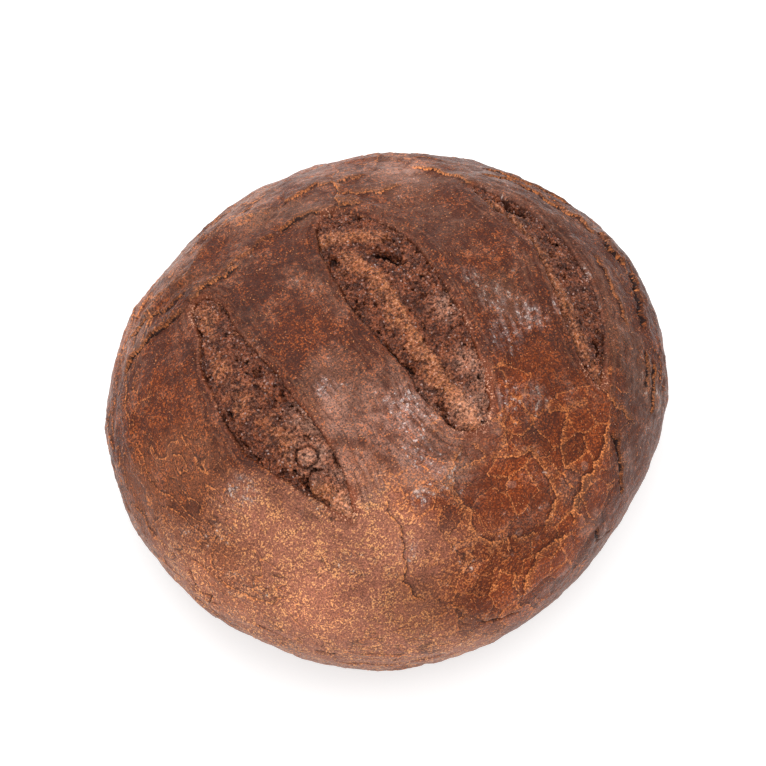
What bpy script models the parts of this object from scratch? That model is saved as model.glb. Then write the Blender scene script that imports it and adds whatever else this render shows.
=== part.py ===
"""Round hearth loaf of dark rye bread, cut three times across the top and baked open.

One solid in metres, +Z up. X runs across the three slashes, which is the loaf's longer way,
and Y runs along them. The origin is the middle of the flat sole that the loaf stands on.

The loaf is a ball of dough that has settled: a cube is divided finely, rounded to a ball, and
each point of the ball is carried to the crown, the flank or the sole of the loaf. The three
slashes are then sunk into the crown, with the torn crumb swelling in the middle of each.
"""

import math

import bmesh
import bpy
from mathutils import Vector, noise

# The settled loaf
MEAN_RADIUS = 0.1106  # of the widest ring, seen from above
HEIGHT = 0.096
WAIST_HEIGHT = 0.036  # the widest ring stands this far above the sole
SOLE_SHARE = 0.78  # radius of the flat sole over that of the widest ring
CROWN_FULLNESS = 2.3  # 2 is an ellipse; more is flatter on top and fuller at the shoulder

# How the loaf differs from a true circle: how many swells go round it, how far they stand
# out as a share of the radius, and the bearing of the first, in degrees from +X
SWELLS = (
    (2, 0.040, 4),
    (3, 0.012, -2),
    (4, 0.010, -24),
)

# Hand-shaped unevenness of the whole skin
UNEVEN_HEIGHT = 0.0011
UNEVEN_SPACING = 0.034

# The three slashes, seen from above: the far end, the near end, the width it has opened to,
# how far its middle bows towards +X, and how far its widest place lies towards the far end
SLASHES = (
    ((-0.046, 0.060), (-0.054, -0.052), 0.029, -0.009, 0.00),
    ((0.004, 0.061), (0.000, -0.052), 0.036, 0.012, 0.22),
    ((0.067, 0.043), (0.058, -0.058), 0.017, 0.014, 0.00),
)
SLASH_DEPTH = 0.0050  # of the groove under the lip
GROOVE_WALL = 0.0052  # the groove has its full depth this far inside the lip
LIP_ROUND = 0.0028  # the groove's wall starts this far outside the lip
CRUMB_RISE = 0.0034  # the torn crumb's middle above the groove
CRUMB_EDGE = -0.0036  # where the crumb starts to rise, from the lip
LIP_HEIGHT = 0.0013  # the crust's curled edge above the crown
LIP_OUT = 0.0062  # how far outside the lip the curl is highest
LIP_SPREAD = 0.0042
HEART_DEPTH = -0.070  # slashes sink towards this point on the axis, square to the crown

# The mesh: squares along an edge of the cube, and the angles from the ball's top at which
# the crown and the flank end, which set how many squares each of them gets
SQUARES = 30
CROWN_END = math.radians(104)
FLANK_END = math.radians(139.5)

CRUST_BROWN = (0.165, 0.072, 0.040, 1.0)


def smooth_step(low, high, value):
    """0 below low, 1 above high, and an even rise between them."""
    t = min(1.0, max(0.0, (value - low) / (high - low)))
    return t * t * (3 - 2 * t)


def waist_radius(bearing):
    """Radius of the widest ring at a bearing from +X."""
    swell = sum(
        share * math.cos(count * (bearing - math.radians(first)))
        for count, share, first in SWELLS
    )
    return MEAN_RADIUS * (1 + swell)


def profile(polar):
    """The loaf's half section: share of the waist radius, and height, at an angle from the top."""
    if polar <= CROWN_END:
        share = math.sin(polar / CROWN_END * math.pi / 2)
        crown = math.sqrt(max(0.0, 1 - share**CROWN_FULLNESS))
        return share, WAIST_HEIGHT + (HEIGHT - WAIST_HEIGHT) * crown
    if polar <= FLANK_END:
        turn = (polar - CROWN_END) / (FLANK_END - CROWN_END) * math.pi / 2
        share = SOLE_SHARE + (1 - SOLE_SHARE) * math.cos(turn)
        return share, WAIST_HEIGHT * (1 - math.sin(turn))
    return SOLE_SHARE * (math.pi - polar) / (math.pi - FLANK_END), 0.0


def slash_reach(x, y, slash):
    """How far out of a slash a point lies: 0 on its middle line, 1 on its lip."""
    far, near, width, bow, skew = slash
    middle = (Vector(far) + Vector(near)) / 2
    half = (Vector(far) - Vector(near)) / 2
    along_way = half.normalized()
    across_way = Vector((along_way.y, -along_way.x))
    from_middle = Vector((x, y)) - middle
    along = from_middle.dot(along_way) / half.length
    inside = max(0.0, 1 - along * along)
    across = (from_middle.dot(across_way) - bow * inside) / (width / 2)
    along -= skew * inside
    return math.hypot(along, across)


def slash_relief(beyond_lip, half_width):
    """Height of the crown's surface that far out of a slash's lip: groove, crumb and curled lip."""
    groove = -SLASH_DEPTH * (1 - smooth_step(-GROOVE_WALL, LIP_ROUND, beyond_lip))
    crumb = CRUMB_RISE * (1 - smooth_step(-half_width, CRUMB_EDGE, beyond_lip))
    lip = LIP_HEIGHT * math.exp(-(((beyond_lip - LIP_OUT) / LIP_SPREAD) ** 2))
    return groove + crumb + lip


def loaf_point(ball):
    """Carries a point of the unit ball to the loaf's skin."""
    polar = math.acos(max(-1.0, min(1.0, ball.z)))
    bearing = math.atan2(ball.y, ball.x)
    share, height = profile(polar)
    radius = share * waist_radius(bearing)
    point = Vector((radius * math.cos(bearing), radius * math.sin(bearing), height))
    if polar > FLANK_END:
        return point
    outward = (point - Vector((0, 0, HEART_DEPTH))).normalized()
    clear_of_sole = smooth_step(0.0, WAIST_HEIGHT, height)
    relief = UNEVEN_HEIGHT * clear_of_sole * noise.noise(point / UNEVEN_SPACING)
    if polar < CROWN_END:
        for slash in SLASHES:
            half_width = slash[2] / 2
            beyond_lip = (slash_reach(point.x, point.y, slash) - 1) * half_width
            relief += slash_relief(beyond_lip, half_width)
    return point + outward * relief


def ball_mesh():
    """A ball of even squares, made from a divided cube."""
    mesh = bmesh.new()
    bmesh.ops.create_cube(mesh, size=2)
    bmesh.ops.subdivide_edges(mesh, edges=mesh.edges[:], cuts=SQUARES - 1, use_grid_fill=True)
    for vertex in mesh.verts:
        spread = [math.tan(value * math.pi / 4) for value in vertex.co]
        vertex.co = Vector(spread).normalized()
    return mesh


def centred(mesh):
    """Moves the mesh so that the middle of its sole is at the origin."""
    xs = [vertex.co.x for vertex in mesh.verts]
    ys = [vertex.co.y for vertex in mesh.verts]
    shift = Vector(((min(xs) + max(xs)) / 2, (min(ys) + max(ys)) / 2, 0))
    bmesh.ops.translate(mesh, verts=mesh.verts[:], vec=-shift)


def crust_material():
    material = bpy.data.materials.new("rye_crust")
    material.use_nodes = True
    shader = material.node_tree.nodes["Principled BSDF"]
    shader.inputs["Base Color"].default_value = CRUST_BROWN
    shader.inputs["Roughness"].default_value = 0.55
    shader.inputs["Metallic"].default_value = 0.0
    return material


def make_loaf():
    mesh = ball_mesh()
    for vertex in mesh.verts:
        vertex.co = loaf_point(vertex.co)
    centred(mesh)
    bmesh.ops.recalc_face_normals(mesh, faces=mesh.faces[:])
    data = bpy.data.meshes.new("loaf")
    mesh.to_mesh(data)
    mesh.free()
    data.shade_smooth()
    data.materials.append(crust_material())
    return bpy.data.objects.new("loaf", data)


def main():
    for old in list(bpy.data.objects):
        bpy.data.objects.remove(old, do_unlink=True)
    bread = bpy.data.collections.new("rye_bread_loaf")
    bpy.context.scene.collection.children.link(bread)
    bread.objects.link(make_loaf())


main()
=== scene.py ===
"""A round hearth loaf of dark rye bread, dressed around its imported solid.

The crust is one closed skin over a settled ball of dough. Its mesh is finest where the crust
is torn, folded or crackled. The torn crumb that has swelled out of each of the three slashes
is a piece of its own, tucked under the crust's lips. Bran flecks and loose crumbs lie on both.

X runs across the slashes, Y along them, and +Z up from the sole. Sizes are in metres, and
those given in millimetres are multiplied by MM.
"""

import math

import bpy
import numpy as np
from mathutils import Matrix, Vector, noise


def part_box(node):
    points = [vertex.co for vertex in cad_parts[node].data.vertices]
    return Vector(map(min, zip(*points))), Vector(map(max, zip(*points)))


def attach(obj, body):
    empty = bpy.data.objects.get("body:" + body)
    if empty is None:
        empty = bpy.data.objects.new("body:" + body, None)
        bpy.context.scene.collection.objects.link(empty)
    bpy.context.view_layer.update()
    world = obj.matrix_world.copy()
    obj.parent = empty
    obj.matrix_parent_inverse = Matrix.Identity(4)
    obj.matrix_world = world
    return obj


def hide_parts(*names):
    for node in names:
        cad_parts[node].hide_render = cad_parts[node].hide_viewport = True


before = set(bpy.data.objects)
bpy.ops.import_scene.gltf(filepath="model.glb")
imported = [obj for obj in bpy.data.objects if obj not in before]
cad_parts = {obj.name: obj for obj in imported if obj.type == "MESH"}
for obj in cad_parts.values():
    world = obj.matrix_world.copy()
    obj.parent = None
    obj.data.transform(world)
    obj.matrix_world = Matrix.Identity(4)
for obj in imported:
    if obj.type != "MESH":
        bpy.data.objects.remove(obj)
noise.seed_set(1)  # without a seed, noise_vector differs from run to run
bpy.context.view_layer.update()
LOW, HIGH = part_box("loaf")
MM = 0.001

# Edges of the meshes: the longest ones of the crust on its crown, where it is torn, in the
# slashes under the crumb, at the foot of the flank and on the sole, and those of the crumb
CROWN_EDGE = 1.96 * MM
TORN_EDGE = 0.97 * MM
VALLEY_EDGE = 4 * MM
FOOT_EDGE = 3.6 * MM
SOLE_EDGE = 7 * MM
CRUMB_EDGE = 0.33 * MM
BALL_SQUARES = 36  # along each side of the divided cube that the crust starts from
MOST_SPLITS = 6  # times that the crust's edges may be halved
MAP_SQUARE = 1.2 * MM  # of the map that says where the crust is torn

# The settled loaf, as shares of its length and height
SOLE_SHARE = 0.78  # radius of the flat sole over that of the widest ring
CROWN_FULLNESS = 2.3  # 2 is an ellipse; more is flatter on top and fuller at the shoulder
LIP_CURL = 1.1 * MM  # the crust's swollen edge above the crown
LIP_OUT = 5 * MM  # how far outside the lip the curl is highest
LIP_SPREAD = 4.6 * MM
SLASH_SINK = 7.5 * MM  # of the crust under the crumb
CRUMB_TUCK = 2.6 * MM  # how far the crumb reaches under the crust's lips
CROWN_HEIGHT = HIGH.z - LIP_CURL
WAIST_HEIGHT = 0.375 * CROWN_HEIGHT  # the widest ring stands this far above the sole
SWELLS = ((2, 0.040, 4), (3, 0.012, -2), (4, 0.010, -24))  # count, share, bearing of the first
HEART_DEPTH = -70 * MM  # slashes sink towards this point on the axis
CROWN_END = math.radians(104)
FLANK_END = math.radians(139.5)

# The three slashes, seen from above in millimetres: the Y of each station, then the X of the
# left and the right lip there. The first and last stations are the ends.
SLASHES = {
    "crumb_left": (
        (60, -52, -48), (56, -56, -45), (43, -61, -46), (31, -67, -47), (17, -71, -46),
        (3, -72, -45), (-12, -72, -45), (-22, -68, -44), (-33, -63, -46), (-43, -58, -48),
        (-51, -54, -52),
    ),
    "crumb_middle": (
        (61, 7, 13), (56, 1, 19), (44, -3, 27), (30, -6, 31), (15, -7, 31), (0, -6, 28),
        (-15, -5, 26), (-30, -5, 22), (-42, -4, 17), (-50, 2, 11),
    ),
    "crumb_right": (
        (44, 68, 71), (37, 67, 75), (26, 69, 81), (8, 71, 85), (-5, 68, 85), (-19, 65, 84),
        (-31, 61, 79), (-43, 58, 72), (-52, 57, 64), (-58, 57, 59),
    ),
}

# Tears and folds of the crust. Each has the points it runs through, seen from above in
# millimetres, with their height too where the skin is steep. Then come how far its left side
# stands proud, how wide it gapes, and how pale its torn edge is. A minus height lifts the
# right side instead.
SEAMS = (
    # edges of the lifted plates on the front
    (((-37, -51), (-40, -58), (-40, -67), (-44, -74), (-48, -80), (-47, -86), (-42, -90)),
     -0.6, 0.25, 0.9),
    (((0, -52), (-9, -56), (-15, -64), (-14, -75), (-16, -80), (-12, -86), (-3, -88)),
     -0.5, 0.1, 1.0),
    (((0, -52), (2, -60), (-6, -59), (-11, -60)), 0.3, 0.0, 0.8),
    (((2, -60), (11, -65), (19, -67), (20, -75), (19, -84), (13, -88), (7, -92)), 0.5, 0.15, 1.0),
    (((7, -92), (1, -89), (-6, -87), (-12, -89)), 0.4, 0.1, 0.9),
    (((55, -66), (47, -77), (39, -80), (32, -83), (27, -86), (22, -90), (21, -95)), 0.8, 0.2, 1.0),
    (((21, -95, 59), (14, -94, 62), (5, -95, 64), (-4, -99, 59), (-8, -102, 54), (-8, -103, 48)),
     0.7, 0.2, 0.9),
    (((42, -60), (34, -65), (31, -71), (28, -76), (32, -81)), 0.4, 0.15, 0.8),
    (((19, -50), (13, -58), (11, -65)), -0.35, 0.0, 0.7),
    (((33, -52), (35, -58), (42, -60), (50, -58)), 0.35, 0.0, 0.6),
    (((-15, -83), (-24, -88), (-28, -91)), -0.2, 0.1, 0.8),
    (((-35, -95, 61), (-35, -99, 55), (-32, -102, 49)), 0.2, 0.2, 0.7),
    (((-10, -98, 62), (-11, -101, 56), (-12, -104, 50)), 0.3, 0.0, 1.0),
    (((60, -51), (58, -58), (60, -65), (66, -72)), 0.35, 0.1, 0.9),
    # gaping cracks low on the front and right
    (((55, -72, 70), (52, -80, 62), (49, -87, 54), (48, -91, 48)), 0.5, 0.9, 0.5),
    (((106, 5, 62), (103, 0, 64), (102, -6, 65), (103, -10, 64), (107, -13, 60)), 1.8, 0.7, 0.5),
    (((107, -16, 60), (102, -23, 62), (99, -29, 63), (96, -35, 64), (93, -42, 64)), 1.3, 1.3, 0.3),
    (((88, -49, 63), (86, -53, 63), (82, -59, 62), (79, -64, 61)), 0.9, 0.9, 0.5),
    (((31, -96, 52), (31, -98, 45), (34, -97, 42), (42, -95, 35)), 0.4, 1.0, 0.4),
    (((-28, -103, 49), (-22, -104, 47), (-18, -105, 46), (-10, -106, 43)), 0.4, 1.0, 0.5),
    (((-85, -74, 41), (-79, -80, 42)), 0.3, 0.9, 0.4),
    (((-110, -22, 50), (-110, -29, 44)), 0.3, 0.8, 0.4),
    (((-107, -34, 48), (-108, -37, 34)), 0.3, 0.6, 0.5),
    (((-103, -47, 31), (-99, -54, 26)), 0.3, 0.7, 0.5),
    # the folds where the dough was gathered, behind the slashes
    (((-90, 58), (-80, 61), (-70, 62), (-63, 60), (-54, 60)), 1.1, 0.7, 0.6),
    (((-57, 55), (-52, 60), (-47, 63), (-41, 61), (-34, 62), (-28, 63)), 1.2, 0.4, 0.75),
    (((-37, 63), (-30, 66), (-22, 65), (-14, 67), (-9, 66)), 0.9, 0.1, 0.35),
    (((-12, 65), (-1, 67), (6, 65), (10, 61), (20, 60), (27, 57)), 1.1, 0.5, 0.7),
    (((-76, 74), (-60, 76), (-46, 75), (-31, 85), (-20, 85), (-9, 82), (2, 79)), -2.4, 0.1, 0.6),
    (((-4, 78), (4, 79), (17, 80), (24, 75), (38, 70)), 1.0, 0.2, 0.5),
    (((25, 76), (21, 71), (19, 67), (16, 60)), 0.8, 0.3, 1.0),
    (((19, 67), (27, 64), (35, 59), (45, 58)), 0.8, 0.2, 0.7),
    (((-80, 70), (-69, 73), (-63, 69), (-58, 66), (-50, 69)), 0.9, 0.4, 0.5),
    (((-57, 87, 56), (-66, 85, 49), (-78, 78, 44)), 0.5, 0.3, 0.7),
    (((90, 17), (95, 13), (99, 6)), -0.5, 0.2, 0.8),
    (((76, 49), (83, 46), (90, 39)), 0.6, 0.5, 0.7),
    (((54, 68, 74), (62, 60, 75), (66, 50, 77), (69, 41, 80)), 0.9, 0.2, 1.0),
    # skins lifted down the right flank
    (((81, 56, 65), (88, 48, 62), (95, 34, 62), (101, 20, 60)), 0.9, 0.4, 0.6),
    (((87, 42, 68), (92, 28, 69), (99, 14, 66), (102, 1, 65)), 0.9, 0.3, 0.6),
    (((92, -5, 74), (91, -18, 74), (88, -29, 73), (85, -42, 70)), 0.6, 0.3, 0.5),
    (((89, -51, 60), (83, -62, 58), (76, -71, 54)), 0.7, 0.4, 0.6),
    (((60, 94, 40), (40, 101, 46), (16, 104, 52)), 0.7, 0.6, 0.6),
    (((-20, 103, 48), (-42, 98, 42), (-58, 93, 40)), -0.6, 0.5, 0.6),
    (((98, 52, 44), (88, 64, 52), (76, 76, 50)), 0.6, 0.7, 0.6),
)
SEAM_NEAR = 70 * MM  # from a seam's middle, as far as it is looked for
SEAM_AWAY = 9 * MM  # counts as far from every seam
SEAM_FADE = 0.16  # of a seam's length, at each end

# The torn crumb swells up in ridges. Each has the points it runs through, then its height
# and how far it spreads to its left and to its right, all in millimetres.
RIDGES = (
    (((-52, 53), (-57, 40), (-61, 22), (-61, 4), (-57, -14)), 1.0, 6, 6),
    (((6, 36), (9, 21), (9, 11), (7, 1), (6, -12), (5, -25), (6, -37), (6, -49)), 2.4, 3.0, 6.0),
    (((1, 50), (7, 47), (14, 44), (20, 38)), 1.7, 4.5, 3.0),
    (((69, 32), (71, 16), (71, 4), (69, -8), (66, -20), (65, -30), (62, -40), (59, -55)),
     1.5, 3.0, 4.5),
    (((-57, -36), (-53, -43), (-53, -51)), 2.0, 4, 4),
)

# Holes torn in the crumb, in millimetres: the middle, half the length and half the width,
# the way it lies in degrees from +X, and the depth
HOLES = (
    (17.5, 29.5, 7.6, 2.2, -62, 5.5), (-1, 39, 4.2, 1.3, 80, 3.5), (20.5, 52, 2.0, 1.3, 0, 2.5),
    (15, 53, 1.5, 1.0, 0, 2.0), (17, 47, 1.2, 0.9, 0, 1.5), (23, 36, 1.9, 1.3, -50, 2.5),
    (30, 16, 1.6, 0.9, 80, 2.0), (28, 4, 1.3, 0.8, 90, 2.0), (26, -2, 1.5, 0.9, 80, 2.0),
    (25, -7, 1.1, 0.8, 90, 1.6), (18, 15, 1.0, 0.7, 0, 1.2), (20, 6, 2.4, 1.5, 30, 1.6),
    (19, -1, 1.8, 1.2, 0, 1.6), (-5, 17, 1.5, 0.9, 60, 2.0), (-2, 16, 0.9, 0.8, 0, 1.5),
    (1, 14, 1.0, 0.8, 0, 1.5), (-2, 24, 0.8, 0.6, 0, 1.2), (-5, 28, 3.6, 0.8, 82, 3.0),
    (-4.5, -7, 5.5, 0.8, 88, 3.0), (-3, -17, 4.0, 1.1, 84, 3.5), (-2, -38, 4.0, 1.4, 80, 3.0),
    (21, -37, 2.4, 1.4, 70, 2.0), (-58.5, 47, 3.5, 0.6, 80, 2.0), (-68.5, 9, 2.6, 0.8, 80, 2.5),
    (-70, -3, 3.2, 0.8, 90, 2.5), (-46, 21, 3.0, 0.8, 85, 2.2), (-47, -9, 4.0, 0.9, 88, 2.5),
    (-46.5, -31, 2.0, 0.8, 85, 2.0), (-48, 2, 2.4, 1.1, 75, 2.0), (-51, 16, 2.8, 1.7, 80, 2.2),
    (-52, 1, 1.7, 1.2, 0, 1.5), (-50, -17, 1.5, 1.0, 60, 2.0), (-61, -25, 1.0, 0.8, 0, 1.6),
    (-64, -22, 1.0, 0.8, 0, 1.6), (-60, -29, 2.6, 1.6, -45, 3.0), (67.5, -44, 5.0, 1.6, 70, 3.5),
    (76, 25, 10, 3.0, -65, 5.0), (80, 4, 2.0, 1.2, -70, 2.5), (75, -2, 2.0, 1.0, -70, 2.0),
    (74, -13, 1.8, 1.3, 80, 2.5), (80, -12, 1.1, 0.8, 0, 1.8), (72, -29, 2.0, 0.9, 75, 2.2),
)

# Popped bubbles in the crumb, in millimetres: the middle, the ring's radius, the groove's
# width and depth, and the bearing it is deepest at, or None where it is even
BUBBLES = ((-54.5, -23, 4.3, 0.55, 2.0, None), (-56, -33.5, 4.6, 0.8, 2.6, 125))

DOME_RISE = 0.9  # of a bubble's middle, in millimetres

# The crumb's edge along the lip: its height over the plain crown and how much that sways, in
# millimetres, how far in it fades, how far it drops where it is tucked under the crust, and
# how far it rises where it blends with the crust
RIM_HEIGHT = -0.9
RIM_SWAY = 1.4
RIM_FADE = 3 * MM
TUCK_DROP = 6.4 * MM
BLENDED_RISE = 1.2 * MM

# Sizes of the relief of the crust and of the torn crumb
CRUST_RELIEF = {
    "Swell": 3.2 * MM,
    "Wrinkle": 1.4 * MM,
    "Plate": 0.6 * MM,
    "Flake": 1.2 * MM,
    "Grain": 1.5 * MM,
}
CRACKLE_SIZE = 12 * MM  # of the plates between the fine cracks
CRUMB_RELIEF = {"Lump": 3.0 * MM, "Grain": 1.15 * MM, "Pore": 1.6 * MM}

# Flecks of bran on the crust and loose grains on the torn crumb: how many to a square metre,
# half their sides, and the height above the sole that they start at
FLECKS = {
    "Density": 130e3,
    "Length": 0.32 * MM,
    "Width": 0.18 * MM,
    "Height": 0.10 * MM,
    "Lowest": 5 * MM,
}
GRAINS = {
    "Density": 500e3,
    "Length": 0.46 * MM,
    "Width": 0.38 * MM,
    "Height": 0.32 * MM,
    "Lowest": 5 * MM,
}

FLOOR_SIZE = 6
FLOOR_DROP = 0.3 * MM  # under the sole, so that the two never touch
FLOOR_GREY = (0.55, 0.55, 0.55, 1)
FLOOR_GLOW = 0.62
WHITE = (1, 1, 1, 1)
SKY_STRENGTH = 0.78
# The lamps: where each one hangs, how wide it is, and its power in watts
LAMPS = {
    "key": ((0.0, -0.1, 1.15), 0.7, 4.3),
    "fill": ((0.10, 0.70, 0.60), 0.8, 3.3),
}
CAMERA_BEARING = -34
CAMERA_HEIGHT = 64  # degrees above the table
CAMERA_AWAY = 1.1
CAMERA_LENS = 129.24
CAMERA_SENSOR = 36
CAMERA_AIM = (-0.0015, 0.0035, 0.0471)  # from the middle of the sole


def smooth_step(low, high, value):
    """0 below low, 1 above high, and an even rise between them."""
    t = np.clip((value - low) / (high - low), 0, 1)
    return t * t * (3 - 2 * t)


def uneven(points, size, seed=0):
    """Smooth noise from -1 to 1 at each point, with swells of that size."""
    shift = Vector((seed * 7.1, seed * 3.7, seed * 5.3))
    return np.array([noise.noise(Vector(point) / size + shift) for point in points])


def ragged(points, size, reach, seed=0):
    """The points, each moved about by smooth noise of that size, as far as reach."""
    shift = Vector((seed * 4.9, seed * 8.3, seed * 2.1))
    moves = [noise.noise_vector(Vector(point) / size + shift) for point in points]
    return points + reach * np.array(moves)


# ---- the form of the loaf ----


def ring_radius(bearing):
    """Radius of the widest ring at a bearing from +X, for a loaf of mean radius 1."""
    return 1 + sum(
        share * np.cos(count * (bearing - math.radians(first)))
        for count, share, first in SWELLS
    )


def ring_fit():
    """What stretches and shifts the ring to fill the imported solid's box, in X and in Y."""
    bearing = np.linspace(0, 2 * math.pi, 721)
    ring = ring_radius(bearing) * np.array((np.cos(bearing), np.sin(bearing)))
    low, high = ring.min(1), ring.max(1)
    stretch = np.array((HIGH - LOW)[:2]) / (high - low)
    return stretch, np.array((HIGH + LOW)[:2]) / 2 - stretch * (low + high) / 2


RING_STRETCH, RING_SHIFT = ring_fit()
STEEP_BELOW = 0.66 * CROWN_HEIGHT  # the skin is steeper than 45 degrees below this height


def crown_height(share):
    """Height of the plain crown at a share of the ring's radius."""
    return WAIST_HEIGHT + (CROWN_HEIGHT - WAIST_HEIGHT) * np.sqrt(1 - share**CROWN_FULLNESS)


def ring_place(points):
    """Where points lie on the ring before it is stretched: the place, how far it is from the
    middle, and what share that is of the ring's radius."""
    ring = (points[:, :2] - RING_SHIFT) / RING_STRETCH
    reach = np.hypot(ring[:, 0], ring[:, 1])
    return ring, reach, reach / ring_radius(np.arctan2(ring[:, 1], ring[:, 0]))


def loaf_form(balls):
    """Carries points of the unit ball to the loaf's plain skin."""
    polar = np.arccos(np.clip(balls[:, 2], -1, 1))
    bearing = np.arctan2(balls[:, 1], balls[:, 0])
    crown_share = np.sin(np.clip(polar / CROWN_END, 0, 1) * math.pi / 2)
    turn = np.clip((polar - CROWN_END) / (FLANK_END - CROWN_END), 0, 1) * math.pi / 2
    flank_share = SOLE_SHARE + (1 - SOLE_SHARE) * np.cos(turn)
    sole_share = SOLE_SHARE * (math.pi - polar) / (math.pi - FLANK_END)
    on_crown, on_flank = polar <= CROWN_END, polar <= FLANK_END
    share = np.where(on_crown, crown_share, np.where(on_flank, flank_share, sole_share))
    height = np.where(on_crown, crown_height(crown_share), WAIST_HEIGHT * (1 - np.sin(turn)))
    radius = share * ring_radius(bearing)
    ring = np.stack((radius * np.cos(bearing), radius * np.sin(bearing)), 1)
    return np.column_stack((ring * RING_STRETCH + RING_SHIFT, np.where(on_flank, height, 0)))


def crown_form(plan):
    """Points of the plain crown above points of the plan."""
    share = ring_place(plan)[2]
    return np.column_stack((plan, crown_height(np.clip(share, 0, 1))))


def crown_arcs():
    """Shares of the ring, the height of the crown there, and the way down to it from the top."""
    share = np.sin(np.linspace(0, math.pi / 2, 200))
    height = crown_height(share)
    steps = np.hypot(np.diff(share) * RING_STRETCH.mean(), np.diff(height))
    return share, height, np.concatenate(((0,), np.cumsum(steps)))


def unrolled(points):
    """Places on a flat map whose middle is the top of the crown, with true lengths downwards."""
    ring, reach, part = ring_place(points)
    share, height, arc = CROWN_ARCS
    away = np.interp(part, share, arc)
    if points.shape[1] == 3:
        level = points[:, 2]
        down = np.interp(level, height[::-1], arc[::-1]) + np.maximum(0, WAIST_HEIGHT - level)
        away = np.where(level < STEEP_BELOW, down, away)
    return ring / np.maximum(reach, 1e-6)[:, None] * away[:, None]


def outwards(points):
    """The way out of the loaf at each point, away from its heart."""
    away = points - np.array((0, 0, HEART_DEPTH))
    return away / np.linalg.norm(away, axis=1, keepdims=True)


CROWN_ARCS = crown_arcs()


# ---- slashes and seams ----


def rounded(path, rounds=2):
    """A closed path with its corners cut that many times."""
    for _ in range(rounds):
        after = np.roll(path, -1, axis=0)
        path = np.stack((0.75 * path + 0.25 * after, 0.25 * path + 0.75 * after), 1).reshape(-1, 2)
    return path


def lip_line(stations):
    """The closed line of a slash's lip, counter-clockwise seen from above."""
    left = [(left, y) for y, left, right in stations]
    right = [(right, y) for y, left, right in reversed(stations)]
    return rounded(np.array(left + right, float) * MM)


def path_reach(path, plan):
    """Distance to an open path, plus on its left, and where along it the nearest point is."""
    starts, ways = path[:-1], np.diff(path, axis=0)
    lengths = np.linalg.norm(ways, axis=1)
    best = np.full(len(plan), np.inf)
    side = np.zeros(len(plan))
    along = np.zeros(len(plan))
    for start, way, length, before in zip(starts, ways, lengths, np.cumsum(lengths) - lengths):
        away = plan - start
        share = np.clip(away @ way / length**2, 0, 1)
        distance = np.linalg.norm(away - share[:, None] * way, axis=1)
        perpendicular = (way[0] * away[:, 1] - way[1] * away[:, 0]) / length
        nearer = distance < best
        best = np.where(nearer, distance, best)
        side = np.where(nearer, np.where(perpendicular >= 0, 1, -1), side)
        along = np.where(nearer, (before + share * length) / lengths.sum(), along)
    return best * side, along


def lip_reach(line, plan):
    """Distance out of a slash, minus inside it."""
    reach, _ = path_reach(np.vstack((line, line[:1])), plan)
    return -reach


LIP_LINES = {name: lip_line(stations) for name, stations in SLASHES.items()}


def nearest_lip(plan):
    """Distance out of the nearest slash, minus inside it."""
    return np.min([lip_reach(line, plan) for line in LIP_LINES.values()], axis=0)


def seam_fields(points):
    """For each point: distance from the nearest seam, plus on its proud side; the step's
    height; the gap's width; and how pale the torn edge is. All fade out at a seam's ends."""
    fields = np.zeros((4, len(points)))
    fields[0] = SEAM_AWAY
    flat = unrolled(ragged(ragged(points, 5 * MM, 1.5 * MM), 2.1 * MM, 0.7 * MM))
    for path, height, gap, pale in SEAMS:
        path = unrolled(np.array(path, float) * MM)
        near = np.linalg.norm(flat - path.mean(0), axis=1) < SEAM_NEAR
        reach, along = path_reach(path, flat[near])
        if height < 0:
            reach = -reach
        fade = smooth_step(0, SEAM_FADE, along) * smooth_step(0, SEAM_FADE, 1 - along)
        chosen = np.abs(reach) < np.abs(fields[0][near])
        found = (reach, abs(height) * MM * fade, gap * MM * fade, pale * fade)
        for field, value in zip(fields, found):
            field[near] = np.where(chosen, value, field[near])
    return fields


# ---- the crust's mesh ----


def ball_mesh(squares):
    """The unit ball as a cube divided and rounded: its points and its triangles."""
    ticks = np.linspace(-1, 1, squares + 1)
    row, column = np.meshgrid(ticks, ticks, indexing="ij")
    flat = np.ones_like(row)
    sides = []
    for axis in range(3):
        for sign in (1, -1):
            corner = [None] * 3
            corner[axis] = sign * flat
            corner[(axis + 1) % 3] = sign * row
            corner[(axis + 2) % 3] = column
            sides.append(np.stack(corner, -1).reshape(-1, 3))
    points = np.concatenate(sides)
    index = np.arange(6 * (squares + 1) ** 2).reshape(6, squares + 1, squares + 1)
    a, b, c, d = (
        part.ravel()
        for part in (index[:, :-1, :-1], index[:, 1:, :-1], index[:, 1:, 1:], index[:, :-1, 1:])
    )
    triangles = np.concatenate((np.stack((a, b, c), 1), np.stack((a, c, d), 1)))
    places = np.round(points * 1e5).astype(int)
    _, first, joined = np.unique(places, axis=0, return_index=True, return_inverse=True)
    spread = np.tan(points[first] * math.pi / 4)
    return spread / np.linalg.norm(spread, axis=1, keepdims=True), joined.ravel()[triangles]


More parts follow.
